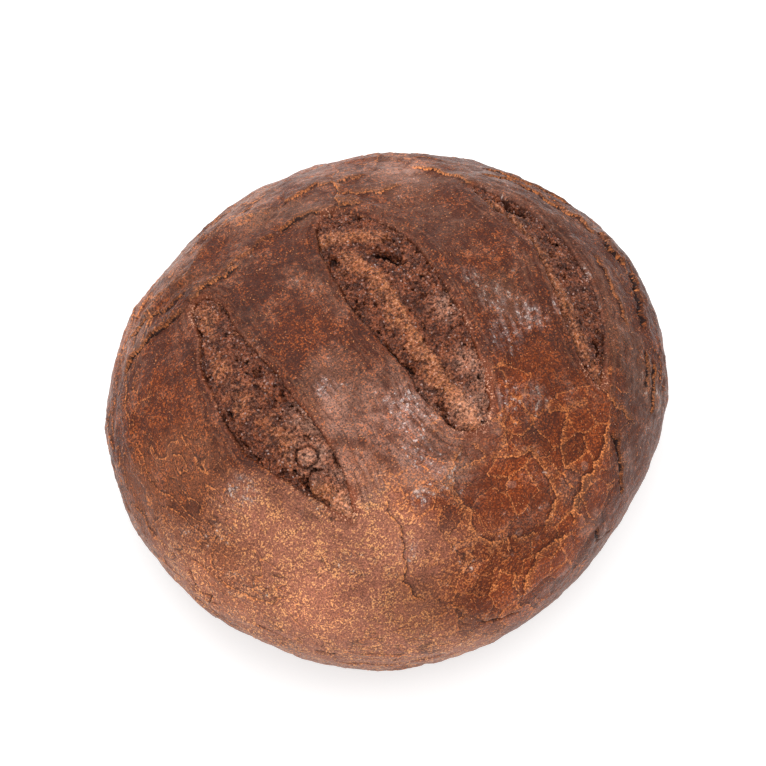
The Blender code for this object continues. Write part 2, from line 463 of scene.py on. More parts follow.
def split_once(balls, triangles, wanted):
    """Halves each edge that is too long for its place, and says how many were halved."""
    ends = triangles[:, [[0, 1], [1, 2], [2, 0]]].reshape(-1, 2)
    low, high = ends.min(1), ends.max(1)
    keys, joined = np.unique(low * len(balls) + high, return_inverse=True)
    low, high = keys // len(balls), keys % len(balls)
    middles = balls[low] + balls[high]
    middles /= np.linalg.norm(middles, axis=1, keepdims=True)
    skin = loaf_form(balls)
    too_long = np.linalg.norm(skin[low] - skin[high], axis=1) > wanted(loaf_form(middles))
    number = np.full(len(keys), -1)
    number[too_long] = len(balls) + np.arange(too_long.sum())
    halves = number[joined.ravel()].reshape(-1, 3)
    count = (halves >= 0).sum(1)
    # one halved edge is turned to come first, and one whole edge to come last
    first = np.where(count == 1, (halves >= 0).argmax(1), 0)
    first = np.where(count == 2, ((halves < 0).argmax(1) + 1) % 3, first)
    turn = (first[:, None] + np.arange(3)) % 3
    a, b, c = np.take_along_axis(triangles, turn, 1).T
    ab, bc, ca = np.take_along_axis(halves, turn, 1).T
    pieces = [triangles[count == 0]]
    for halved, corners in (
        (1, ((a, ab, c), (ab, b, c))),
        (2, ((ab, b, bc), (a, ab, bc), (a, bc, c))),
        (3, ((a, ab, ca), (ab, b, bc), (ca, bc, c), (ab, bc, ca))),
    ):
        chosen = count == halved
        pieces += [np.stack(corner, 1)[chosen] for corner in corners]
    return np.vstack((balls, middles[too_long])), np.concatenate(pieces), too_long.sum()


def torn_map():
    """Squares of the plan, from above, and which of them hold a lip, a valley or a seam."""
    across, along = (np.arange(LOW[axis], HIGH[axis], MAP_SQUARE) for axis in (0, 1))
    plan = np.stack(np.meshgrid(across, along, indexing="ij"), -1).reshape(-1, 2)
    skin = crown_form(plan)
    lip = nearest_lip(plan)
    reach, height, gap, _ = seam_fields(skin)
    torn = (np.abs(reach) < 1.9 * MM) & (height + gap > 0.05 * MM) & (lip > 0)
    torn |= np.abs(lip - 0.2 * MM) < 3.0 * MM
    shape = len(across), len(along)
    return torn.reshape(shape), (lip < -4 * MM).reshape(shape)


def crust_edge_length(skin, torn, valley):
    """How long an edge may be: short where the crust is torn, folded or crackled."""
    square = ((skin[:, :2] - np.array(LOW)[:2]) / MAP_SQUARE).round().astype(int)
    square = tuple(np.clip(square, 0, np.array(torn.shape) - 1).T)
    upper = skin[:, 2] > 0.3 * CROWN_HEIGHT
    wanted = np.where(skin[:, 2] > 0.12 * CROWN_HEIGHT, CROWN_EDGE, FOOT_EDGE)
    wanted = np.where(upper & valley[square], VALLEY_EDGE, wanted)
    wanted = np.where(upper & torn[square], TORN_EDGE, wanted)
    return np.where(skin[:, 2] < 1 * MM, SOLE_EDGE, wanted)


# Where each finish of the crust lies, as round patches: the middle, in millimetres, and the
# radius it fades out at
ZONES = {
    "crackled": (
        (4, -67, 84, 40), (26, -80, 74, 40), (38, -46, 88, 26), (-14, -97, 62, 36),
        (-22, -58, 88, 20), (50, -64, 76, 26), (4, -101, 54, 32), (40, 96, 50, 40),
        (-70, 84, 40, 34),
    ),
    "mottled": (
        (-77, -52, 73, 44), (-90, -62, 45, 46), (-65, -88, 50, 50), (-46, -64, 80, 34),
        (-84, -26, 78, 24), (-44, -100, 40, 40), (-30, -58, 86, 20), (-24, -86, 68, 28),
        (-70, 96, 30, 36), (-104, -20, 40, 36),
    ),
    "satin": (
        (62, -40, 83, 18), (28, -58, 86, 12), (30, -84, 68, 12), (96, -10, 55, 46),
        (70, -76, 52, 36), (86, 34, 62, 46), (30, -100, 34, 26), (100, 30, 30, 40),
        (60, 76, 60, 30), (88, 0, 68, 34), (44, 30, 90, 18),
    ),
    "rusty": (
        (-40, 71, 77, 15), (-24, 72, 80, 13), (-9, 72, 82, 11), (-56, 71, 72, 14),
        (-34, 74, 78, 14), (-18, 75, 79, 14), (-26, 28, 93, 26), (48, 6, 90, 14),
        (54, -44, 84, 22), (-86, 34, 70, 36), (30, -60, 86, 26), (46, -30, 90, 14),
        (-96, 60, 30, 40),
    ),
    "dusky": (
        (78, -40, 74, 26), (38, 34, 90, 34), (-16, -34, 94, 34), (-30, -8, 95, 24),
        (50, 60, 76, 34), (44, -8, 91, 20), (-80, -22, 80, 16), (10, 84, 76, 44),
        (-84, 4, 82, 16), (-50, 82, 60, 36), (-86, 56, 52, 30),
    ),
    "tanned": (
        (-92, 6, 74, 28), (-104, -30, 52, 40), (-41, -40, 90, 16), (-106, 12, 58, 30),
        (-52, -24, 90, 12), (0, -54, 87, 16),
    ),
    # grey patches: partly the crust's own tone, partly painted sheen
    "ashen_sheen": (
        (52, 72, 72, 20), (24, 84, 70, 20), (-10, 94, 64, 24), (-44, 92, 58, 24),
        (-70, 80, 56, 20), (-42, -42, 89, 14), (-16, -34, 94, 30), (-4, -50, 90, 22),
        (-42, -36, 90, 18), (-34, -20, 93, 16), (-22, -50, 88, 16), (-12, 82, 76, 20),
        (29, -94, 56, 9),
    ),
    "streaked": (
        (-100, 6, 60, 48), (-96, 44, 50, 40), (-66, 80, 56, 36), (-100, -44, 48, 36),
        (-20, 96, 60, 40), (60, 84, 52, 40), (98, 30, 50, 36), (100, -20, 52, 26),
        (92, -50, 46, 24), (-64, -96, 32, 30),
    ),
    "blended": (  # where the crust is torn into the crumb without an edge
        (-52, -48, 86, 12), (-50, -36, 89, 7), (-55, 54, 81, 9), (6, -50, 90, 14),
        (22, -34, 92, 12), (26, -12, 94, 9), (10, 60, 87, 8), (66, -22, 86, 10),
        (59, -52, 80, 12), (70, 10, 86, 7),
    ),
    # darker: partly the crust's own tone, partly painted shade
    "darker": (  # where the crust baked darker
        (-34, 37, 91, 26), (-12, 39, 93, 26), (46, 0, 92, 16), (76, -52, 70, 22),
        (37, -61, 82, 22), (-47, -89, 63, 20), (-34, -96, 58, 18), (-30, 70, 80, 20),
        (-8, 72, 80, 18), (82, -62, 58, 18), (-52, 72, 74, 16), (79, 6, 82, 14),
    ),
    "shaded": (  # where the crumb is darker
        (72, 6, 85, 22), (69, -24, 83, 16),
    ),
    # paler: partly their own tone, partly painted light, as on the rims
    "paler": (  # where both are paler
        (-52, -24, 90, 12), (-45, -11, 92, 11), (-42, -37, 90, 14), (-51, -46, 86, 9),
        (18, -26, 94, 9), (20, -38, 92, 11), (8, -42, 92, 12), (24, -2, 94, 9),
        (-104, -37, 51, 24), (-40, -15, 93, 12), (-18, -32, 94, 20), (55, 70, 72, 16),
        (-80, -66, 62, 20),
    ),
    # where the crust also has painted sheen and painted glints
    "film_glints": (  # where a thin film of starch has dried
        (-14, -30, 95, 14), (-19, -46, 90, 10), (42, -8, 92, 9), (37, -24, 92, 12),
        (50, -22, 90, 9), (-34, -5, 94, 6), (-28, -60, 86, 7), (-41, -72, 79, 7),
        (-80, -18, 80, 10), (24, -46, 90, 8), (-16, -58, 88, 8), (33, -50, 87, 8), (40, 4, 92, 7),
        (63, -22, 86, 5),
    ),
}


def zone(points, name):
    """How much of a zone's finish a point has, from 0 to 1."""
    share = np.zeros(len(points))
    for x, y, z, radius in ZONES[name]:
        away = np.linalg.norm(points - np.array((x, y, z)) * MM, axis=1) / (radius * MM)
        share = np.maximum(share, 1 - smooth_step(0.15, 1.1, away))
    return share


def crust_skin(skin):
    """The plain skin with the slashes sunk into it and their lips curled, and the lip's reach."""
    plan = ragged(ragged(skin, 9 * MM, 1.3 * MM, 1), 3 * MM, 0.4 * MM, 2)[:, :2]
    lip = nearest_lip(plan)
    lip[skin[:, 2] < 0.5 * CROWN_HEIGHT] = 40 * MM
    sunk = -SLASH_SINK * (1 - smooth_step(-3.4 * MM, 0.5 * MM, lip))
    curl = LIP_CURL * np.exp(-(((lip - LIP_OUT) / LIP_SPREAD) ** 2))
    return skin + outwards(skin) * (sunk + curl)[:, None], lip


def mesh_object(name, points, faces, fields):
    """A smooth mesh object with the given values kept at its points."""
    data = bpy.data.meshes.new(name)
    data.from_pydata(points, [], faces)
    for field, values in fields.items():
        kind, slot = ("FLOAT_VECTOR", "vector") if values.ndim == 2 else ("FLOAT", "value")
        held = data.attributes.new(field, kind, "POINT")
        held.data.foreach_set(slot, values.astype(np.float32).ravel())
    data.shade_smooth()
    made = bpy.data.objects.new(name, data)
    bpy.context.scene.collection.objects.link(made)
    return made


def make_crust():
    """The crust: one closed skin, sunk under the crumb in the slashes."""
    balls, triangles = ball_mesh(BALL_SQUARES)
    torn, valley = torn_map()
    for _ in range(MOST_SPLITS):
        balls, triangles, halved = split_once(
            balls, triangles, lambda skin: crust_edge_length(skin, torn, valley))
        if not halved:
            break
    skin = loaf_form(balls)
    points, lip = crust_skin(skin)
    reach, height, gap, pale = seam_fields(skin)
    fields = {"rest": skin, "down": np.linalg.norm(unrolled(skin), axis=1), "pale": pale}
    fields |= {"lip": lip / MM, "seam": reach / MM, "step": height / MM, "gap": gap / MM}
    fields |= {name: zone(skin, name) for name in ZONES}
    return mesh_object("crust", points, triangles, fields)


# ---- the crumb's meshes ----


def spread_out(line, reach):
    """A closed counter-clockwise line moved outwards."""
    way = np.roll(line, -1, axis=0) - np.roll(line, 1, axis=0)
    out = np.stack((way[:, 1], -way[:, 0]), 1)
    return line + reach * out / np.linalg.norm(out, axis=1, keepdims=True)


def chain(line, first, last, heights):
    """X of the line at the given Y, going round it from one of its points to another."""
    length = (last - first) % len(line)
    points = line[(first + np.arange(length + 1)) % len(line)]
    points = points[np.argsort(points[:, 1])]
    return np.interp(heights, points[:, 1], points[:, 0])


def crumb_relief(plan, reach):
    """Height of the torn crumb over the plain crown, and how far it is ridge."""
    inside = np.maximum(0, -reach)
    rim = RIM_HEIGHT + RIM_SWAY * uneven(np.column_stack((plan, plan[:, 0] * 0)), 6 * MM, 4)
    height = rim * MM * np.exp(-inside / RIM_FADE)
    height = height - TUCK_DROP * (np.maximum(0, reach) / CRUMB_TUCK) ** 1.3
    ridge = np.zeros(len(plan))
    for path, rise, left, right in RIDGES:
        away, along = path_reach(np.array(path, float) * MM, plan)
        spread = np.where(away > 0, left, right) * MM
        share = np.exp(-((away / spread) ** 2))
        height += rise * MM * share * smooth_step(0, 2 * MM, inside)
        ridge = np.maximum(ridge, share * min(1, rise / 2))
    for x, y, length, width, lie, depth in HOLES:
        away = (plan - np.array((x, y)) * MM) / MM
        turn = math.radians(lie)
        along = (away[:, 0] * math.cos(turn) + away[:, 1] * math.sin(turn)) / length
        across = (away[:, 1] * math.cos(turn) - away[:, 0] * math.sin(turn)) / width
        share = 1 - smooth_step(0.55, 1.15, np.hypot(along, across))
        height -= depth * MM * share
    return height, ridge


def bubble_relief(plan):
    """Height of the popped bubbles over the crumb, and how far a point is dome and groove."""
    height, domes, grooves = np.zeros((3, len(plan)))
    for x, y, radius, width, depth, bearing in BUBBLES:
        away = (plan - np.array((x, y)) * MM) / MM
        far = np.hypot(*away.T)
        groove = np.exp(-(((far - radius) / width) ** 2))
        if bearing is not None:
            turn = np.arctan2(away[:, 1], away[:, 0]) - math.radians(bearing)
            groove *= smooth_step(-0.3, 0.8, np.cos(turn))
        dome = 1 - smooth_step(0.45 * radius, radius, far)
        height += (DOME_RISE * dome - depth * groove) * MM
        domes = np.maximum(domes, dome)
        grooves = np.maximum(grooves, groove)
    return height, domes, grooves


def make_crumb(name):
    """The torn crumb in one slash: a closed pillow with a fine top, tucked under the lips."""
    line = LIP_LINES[name]
    rim = spread_out(line, CRUMB_TUCK)
    low, high = rim[:, 1].argmin(), rim[:, 1].argmax()
    rows = np.linspace(rim[low, 1], rim[high, 1], int(np.ptp(rim[:, 1]) / CRUMB_EDGE))[1:-1]
    one, other = chain(rim, low, high, rows), chain(rim, high, low, rows)
    left, right = np.minimum(one, other), np.maximum(one, other)
    shares = np.linspace(0, 1, int((right - left).max() / CRUMB_EDGE))
    across = left[:, None] + (right - left)[:, None] * shares
    plan = np.stack((across, np.broadcast_to(rows[:, None], across.shape)), -1).reshape(-1, 2)
    rest = crown_form(plan)
    moved = ragged(ragged(rest, 4 * MM, 1.2 * MM, 5), 1.2 * MM, 0.5 * MM, 6)[:, :2]
    reach = lip_reach(line, plan)
    height, ridge = crumb_relief(moved, reach)
    height += BLENDED_RISE * zone(rest, "blended") * np.exp(reach / RIM_FADE) * (reach < 0)
    swell, domes, grooves = bubble_relief(ragged(rest, 3 * MM, 0.6 * MM, 7)[:, :2])
    height += swell
    ridge = np.where(grooves > 0.45, 0, np.maximum(ridge, domes * 0.3))
    points = rest + outwards(rest) * height[:, None]
    count = len(shares)
    index = np.arange(len(points)).reshape(len(rows), count)
    corners = (index[:-1, :-1], index[:-1, 1:], index[1:, 1:], index[1:, :-1])
    top = np.stack([part.ravel() for part in corners], 1)
    under = np.stack((index[:-1, 0], index[1:, 0], index[1:, -1], index[:-1, -1]), 1)
    faces = top.tolist() + under.tolist() + [index[0, ::-1].tolist(), index[-1].tolist()]
    fields = {"rest": rest, "ridge": ridge, "dome": domes, "groove": grooves}
    fields |= {"reach": reach / MM, "height": height / MM}
    fields |= {name: zone(rest, name) for name in ("blended", "paler", "shaded")}
    return mesh_object(name, points, faces, fields)


# ---- node trees ----


class Wire:
    """One output of a node. Sums and products of wires and numbers add Math nodes."""

    def __init__(self, sheet, socket):
        self.sheet = sheet
        self.socket = socket

    def maths(self, operation, *values):
        return self.sheet.add("ShaderNodeMath", {"operation": operation}, dict(enumerate(values)))

    def __add__(self, other):
        return self.maths("ADD", self, other)

    __radd__ = __add__

    def __sub__(self, other):
        return self.maths("SUBTRACT", self, other)

    def __rsub__(self, other):
        return self.maths("SUBTRACT", other, self)

    def __mul__(self, other):
        return self.maths("MULTIPLY", self, other)

    __rmul__ = __mul__

    def __truediv__(self, other):
        return self.maths("DIVIDE", self, other)

    def __abs__(self):
        return self.maths("ABSOLUTE", self)

    def or_more(self, other):
        return self.maths("MAXIMUM", self, other)

    def beside(self, name):
        """Another output of the same node."""
        return Wire(self.sheet, self.socket.node.outputs[name])


class Sheet:
    """A node tree, of a material or of Geometry Nodes, and the ways to add nodes to it."""

    def __init__(self, tree):
        self.tree = tree

    def node(self, kind, settings=None, sockets=None):
        made = self.tree.nodes.new(kind)
        for name, value in (settings or {}).items():
            setattr(made, name, value)
        for key, value in (sockets or {}).items():
            if isinstance(value, Wire):
                self.tree.links.new(value.socket, made.inputs[key])
            else:
                made.inputs[key].default_value = value
        return made

    def add(self, kind, settings=None, sockets=None, output=0):
        return Wire(self, self.node(kind, settings, sockets).outputs[output])

    def field(self, name, kind="FLOAT"):
        """A value kept at the mesh's points."""
        if self.tree.type == "SHADER":
            output = "Fac" if kind == "FLOAT" else "Vector"
            return self.add("ShaderNodeAttribute", {"attribute_name": name}, output=output)
        return self.add("GeometryNodeInputNamedAttribute", {"data_type": kind}, {"Name": name})

    def place(self):
        """Where a point lay on the plain skin, before any relief."""
        return self.field("rest", "FLOAT_VECTOR")

    def vector(self, operation, *values):
        return self.add("ShaderNodeVectorMath", {"operation": operation}, dict(enumerate(values)))

    def scaled(self, vector, factor):
        sockets = {0: vector, "Scale": factor}
        return self.add("ShaderNodeVectorMath", {"operation": "SCALE"}, sockets)

    def noise(self, place, size, detail=2.0, roughness=0.5, output="Fac"):
        """Smooth noise about 0.5, with swells of that size."""
        sockets = {"Vector": place, "Scale": 1 / size, "Detail": detail, "Roughness": roughness}
        return self.add("ShaderNodeTexNoise", None, sockets, output)

    def cells(self, place, size, feature="F1"):
        """Distance in cells of that size, from each cell's middle or from its edge."""
        sockets = {"Vector": place, "Scale": 1 / size}
        return self.add("ShaderNodeTexVoronoi", {"feature": feature}, sockets, "Distance")

    def chance(self, low, high, seed):
        """A number drawn by chance for each point."""
        sockets = {2: low, 3: high, "Seed": seed}
        return self.add("FunctionNodeRandomValue", {"data_type": "FLOAT"}, sockets, 1)

    def steps(self, value, low, high, to_low=0.0, to_high=1.0):
        """to_low below low, to_high above high, and an even rise between them."""
        sockets = {"Value": value, 1: low, 2: high, 3: to_low, 4: to_high}
        return self.add("ShaderNodeMapRange", {"interpolation_type": "SMOOTHSTEP"}, sockets)

    def blend(self, share, first, second, how="MIX"):
        """Two colours mixed."""
        sockets = {0: share, 6: first, 7: second}
        return self.add("ShaderNodeMix", {"data_type": "RGBA", "blend_type": how}, sockets, 2)

    def channel(self, colour, name="X"):
        return self.add("ShaderNodeSeparateXYZ", None, {0: colour}, name)


def warped(sheet, place, size, reach):
    """Places moved about by noise of that size."""
    moves = sheet.noise(place, size, 1, output="Color")
    moves = sheet.scaled(sheet.vector("SUBTRACT", moves, (0.5, 0.5, 0.5)), reach)
    return sheet.vector("ADD", place, moves)


def crackle(sheet, place, size):
    """Plates of about that size: the distance to a plate's edge in metres, and its own tone."""
    moved = warped(sheet, warped(sheet, place, 0.7 * size, 0.35 * size), 0.14 * size, 0.10 * size)
    edge = sheet.cells(moved, size, "DISTANCE_TO_EDGE") * size
    tone = sheet.channel(sheet.cells(moved, size).beside("Color"))
    return edge, tone


def flaking(sheet, place):
    """Skin that has lifted in thin layers: its relief from -0.5 to 0.5, which rises steeply at
    each layer's edge, and the noise that it follows."""
    moved = warped(sheet, around(sheet, place, 0.4), 6 * MM, 3 * MM)
    layer = sheet.noise(warped(sheet, moved, 1.6 * MM, 0.9 * MM), 11 * MM, 1)
    layers = sheet.steps(layer, 0.44, 0.455) * 0.5 + sheet.steps(layer, 0.56, 0.575) * 0.5
    return layers - 0.5, layer


def around(sheet, place, squeeze=0.22):
    """Places drawn together round the loaf, so that noise there runs in level lines."""
    ring = sheet.vector("MULTIPLY", place, (squeeze, squeeze, 0))
    down = sheet.add("ShaderNodeCombineXYZ", None, {2: sheet.field("down")})
    return sheet.vector("ADD", ring, down)


def strata(sheet, place, width):
    """Lines of about that width that run along the nearest slash, as smooth noise about 0.5."""
    along = sheet.scaled(warped(sheet, place, 9 * MM, 5 * MM), 0.08)
    across = sheet.add("ShaderNodeCombineXYZ", None, {0: sheet.field("lip") * MM})
    return sheet.noise(sheet.vector("ADD", along, across), width, 3, 0.6)


# ---- Geometry Nodes ----


def shape_tree(name, sizes):
    """An empty tree for a shape, with a geometry input and one input for each named size."""
    tree = bpy.data.node_groups.new(name, "GeometryNodeTree")
    tree.interface.new_socket("Geometry", in_out="INPUT", socket_type="NodeSocketGeometry")
    tree.interface.new_socket("Geometry", in_out="OUTPUT", socket_type="NodeSocketGeometry")
    for size in sizes:
        tree.interface.new_socket(size, in_out="INPUT", socket_type="NodeSocketFloat")
    tree.interface.new_socket("Finish", in_out="INPUT", socket_type="NodeSocketMaterial")
    sheet = Sheet(tree)
    given = sheet.node("NodeGroupInput")
    return sheet, {socket.name: Wire(sheet, socket) for socket in given.outputs if socket.name}


def end_tree(sheet, geometry, finish):
    """Ends a tree with its instances made real and its finish set."""
    real = sheet.add("GeometryNodeRealizeInstances", None, {0: geometry})
    done = sheet.add("GeometryNodeSetMaterial", None, {"Geometry": real, "Material": finish})
    sheet.node("NodeGroupOutput", None, {0: done})


def raised(sheet, geometry, height):
    """The geometry with each point moved out along its normal."""
    normal = sheet.add("GeometryNodeInputNormal")
    sockets = {"Geometry": geometry, "Offset": sheet.scaled(normal, height)}
    return sheet.add("GeometryNodeSetPosition", None, sockets)


def kept(sheet, geometry, name, value):
    """The geometry with a value kept at its points."""
    settings = {"data_type": "FLOAT", "domain": "POINT"}
    sockets = {"Geometry": geometry, "Name": name, "Value": value}
    return sheet.add("GeometryNodeStoreNamedAttribute", settings, sockets)


def shaped(made, sheet, values):
    """The object with the tree's result as its plain mesh."""
    worker = made.modifiers.new("shape", "NODES")
    worker.node_group = sheet.tree
    for item in sheet.tree.interface.items_tree:
        if item.in_out == "INPUT" and item.name in values:
            worker[item.identifier] = values[item.name]
    graph = bpy.context.evaluated_depsgraph_get()
    mesh = bpy.data.meshes.new_from_object(
        made.evaluated_get(graph), preserve_all_data_layers=True, depsgraph=graph)
    made.modifiers.remove(worker)
    made.data = mesh
    mesh.shade_smooth()
    return made


def scatter_tree():
    """Small flat grains strewn over a surface in clouds, each turned and sized by chance."""
    sheet, given = shape_tree("strewn_grains", GRAINS)
    place = sheet.place()
    clouds = sheet.steps(sheet.noise(place, 5 * MM, 2), 0.40, 0.62, 0.3)
    above = sheet.steps(sheet.channel(place, "Z") - given["Lowest"], 0, 10 * MM)
    strewn = clouds * above * (1 - sheet.field("ridge") * 0.5)
    strewn = strewn * sheet.steps(sheet.field("dome") + sheet.field("groove"), 0.6, 0.1)
    sockets = {"Mesh": given["Geometry"], "Density": given["Density"] * strewn, "Seed": 4}
    spots = sheet.add("GeometryNodeDistributePointsOnFaces", None, sockets)
    angle = sheet.chance(0, 2 * math.pi, 5)
    turn = sheet.add("FunctionNodeAxisAngleToRotation", None, {"Angle": angle})
    lie = {"Rotation": spots.beside("Rotation"), "Rotate By": turn}
    turned = sheet.add("FunctionNodeRotateRotation", {"rotation_space": "LOCAL"}, lie)
    size = sheet.chance(0.5, 1.5, 6)
    width = given["Width"] * sheet.chance(0.6, 1.4, 7)
    sides = {0: given["Length"] * size, 1: width, 2: given["Height"] * size}
    sides = sheet.add("ShaderNodeCombineXYZ", None, sides)
    toned = kept(sheet, spots, "tone", sheet.chance(0, 1, 8))
    grain = sheet.add("GeometryNodeMeshIcoSphere", None, {"Radius": 1.0, "Subdivisions": 1})
    grains = {"Points": toned, "Instance": grain, "Rotation": turned, "Scale": sides}
    end_tree(sheet, sheet.add("GeometryNodeInstanceOnPoints", None, grains), given["Finish"])
    return sheet


def crust_tree():
    """The relief of the crust: swells, wrinkles, crackled plates and torn seams."""
    sheet, given = shape_tree("crust_relief", CRUST_RELIEF)
    place = sheet.place()
    clear = sheet.steps(sheet.channel(place, "Z"), 2 * MM, 16 * MM)
    lip = sheet.field("lip")
    outside = sheet.steps(lip, -1.5, 1.5)
    crackled, streaked = sheet.field("crackled"), sheet.field("streaked")
    swell = (sheet.noise(place, 34 * MM, 1) - 0.5) * given["Swell"]
    swell += (sheet.noise(place, 12 * MM, 2) - 0.5) * given["Swell"] * 0.5
    stretch = (strata(sheet, place, 2.4 * MM) - 0.5) * sheet.steps(lip, 14, 2) * given["Wrinkle"]
    level_lines = sheet.noise(around(sheet, place), 3.2 * MM, 2) - 0.5
    streaks = level_lines * streaked * given["Wrinkle"]
    streaks += flaking(sheet, place)[0] * (streaked * given["Flake"])
    edge, tone = crackle(sheet, place, CRACKLE_SIZE)
    plates = sheet.steps(edge, 0.1 * MM, 1.3 * MM) * 0.35 + (tone - 0.5) * 1.2
    plates = plates * crackled * given["Plate"]
    reach = sheet.field("seam")
    proud = sheet.steps(reach, -0.35, 0.35) * sheet.steps(reach, 11, 0.5)
    cut = sheet.steps(abs(reach + 0.3), 1.0, 0.1)
    seams = sheet.field("step") * MM * proud - sheet.field("gap") * MM * cut * 1.2
    grain = (sheet.noise(place, 5.5 * MM, 3, 0.55) - 0.5) * given["Grain"] * (1 - crackled * 0.5)
    relief = (swell + plates + streaks + grain) * clear * outside
    relief = relief + stretch * outside + seams * outside
    end_tree(sheet, raised(sheet, given["Geometry"], relief), given["Finish"])
    return sheet


def pores(sheet, place):
    """Small holes in the crumb: 1 inside one, 0 outside."""
    moved = warped(sheet, place, 2 * MM, 1.2 * MM)
    away = sheet.cells(moved, 3.0 * MM)
    radius = sheet.steps(sheet.channel(away.beside("Color")), 0.35, 1.0, 0.0, 0.34)
    return sheet.steps(away - radius, 0.02, -0.06)


def crumb_tree():
    """The relief of the torn crumb: lumps, fibres, grains and pores."""
    sheet, given = shape_tree("crumb_relief", CRUMB_RELIEF)
    place = sheet.place()
    ridge = sheet.field("ridge")
    lumps = sheet.noise(place, 5.0 * MM, 3, 0.6) - 0.5
    fibres = sheet.noise(sheet.vector("MULTIPLY", place, (0.35, 1, 1)), 1.1 * MM, 2) - 0.5
    moved = warped(sheet, place, 1.2 * MM, 0.6 * MM)
    grains = (0.5 - sheet.cells(moved, 1.5 * MM)) + (0.5 - sheet.cells(moved, 0.8 * MM)) * 0.6
    pore = pores(sheet, place) * (1 - ridge * 0.8)
    relief = lumps * given["Lump"] + fibres * ridge * given["Grain"]
    relief += grains * given["Grain"] * (1 - ridge * 0.35) - pore * given["Pore"]
    relief = relief * sheet.steps(sheet.field("reach"), 2.4, 1.4) * (1 - sheet.field("dome") * 0.7)
    shape = raised(sheet, given["Geometry"], relief)
    shape = kept(sheet, shape, "level", sheet.field("height") + relief / MM)
    end_tree(sheet, kept(sheet, shape, "pore", pore), given["Finish"])
    return sheet


# ---- finishes ----


def srgb(red, green, blue):
    """A colour given as it looks on screen, from 0 to 255, as the shader's own numbers."""
    return tuple(((part / 255 + 0.055) / 1.055) ** 2.4 for part in (red, green, blue)) + (1,)


CRUST_BROWN = srgb(80, 33, 13)
CRUST_DEEP = srgb(58, 28, 18)
CRUST_RUST = srgb(116, 50, 16)
CRUST_GREY = srgb(116, 74, 55)
CRACKLE_BROWN = srgb(112, 46, 11)
MOTTLED_BROWN = srgb(168, 106, 84)
MOTTLED_SPECK = srgb(240, 172, 112)
TANNED_BROWN = srgb(140, 82, 54)
SATIN_BROWN = srgb(82, 42, 28)
TAN = srgb(216, 140, 84)
ORANGE = srgb(184, 94, 40)
PALE_EDGE = srgb(214, 130, 74)
DEEP_CRACK = srgb(44, 16, 8)
# a painted glint: the pale highlight on the crumb, the grains and the crust's film
GLINT_WHITE = srgb(184, 170, 168)
# a dull film of starch with painted sheen on it
FILM_SHEEN = srgb(142, 120, 118)
ASH = srgb(150, 110, 96)
FLOUR = srgb(196, 168, 140)
CRUMB_BROWN = srgb(126, 67, 43)
CRUMB_WARM = srgb(164, 98, 64)
CRUMB_PALE = srgb(206, 162, 138)
CRUMB_DARK = srgb(82, 39, 23)
# near-black painted as shade in the crumb's holes, pores and grooves and along the crust's lips
HOLE_SHADE = srgb(34, 11, 5)
WARM_TINT = (1, 0.92, 0.78, 1)  # multiplies the crust's colour


def finish(name, **constants):
    """A new material: its sheet, and its shader with the numbers that are the same all over."""
    material = bpy.data.materials.new(name)
    material.use_nodes = True
    shader = material.node_tree.nodes["Principled BSDF"]
    for socket, value in constants.items():
        shader.inputs[socket.replace("_", " ")].default_value = value
    return material, Sheet(material.node_tree), shader


def dress(sheet, shader, colour, roughness, relief):
    """Links the colour, the roughness and the fine relief, given as a height in metres."""
    normal = sheet.add("ShaderNodeBump", None, {"Height": relief, "Distance": 1.0})
    for name, value in (("Base Color", colour), ("Roughness", roughness), ("Normal", normal)):
        sheet.tree.links.new(value.socket, shader.inputs[name])


class Coats:
    """A colour that is built up coat by coat."""

    def __init__(self, sheet, colour):
        self.sheet = sheet
        self.colour = colour

    def over(self, share, colour, how="MIX"):
        """Lays a colour over the coats so far, as much of it as the share says."""
        self.colour = self.sheet.blend(share, self.colour, colour, how)

    def scaled(self, factor):
        self.colour = self.sheet.scaled(self.colour, factor)


def dots(sheet, place, size, share, small, large):
    """Round flecks, one in some of the cells of that size: 1 inside a fleck, 0 outside."""
    away = sheet.cells(place, size)
    chance = sheet.channel(away.beside("Color"))
    radius = sheet.steps(chance, 1 - share, 1.0, 0.0, large / size)
    return sheet.steps(away - radius, 0.0, -small / size)


def veins(sheet, place, size, width):
    """Thin wandering lines about that size apart: 1 on a line, 0 off it."""
    away = abs(sheet.noise(place, size, 2, 0.6) - 0.5)
    return sheet.steps(away, 1.2 * width / size, 0.3 * width / size)


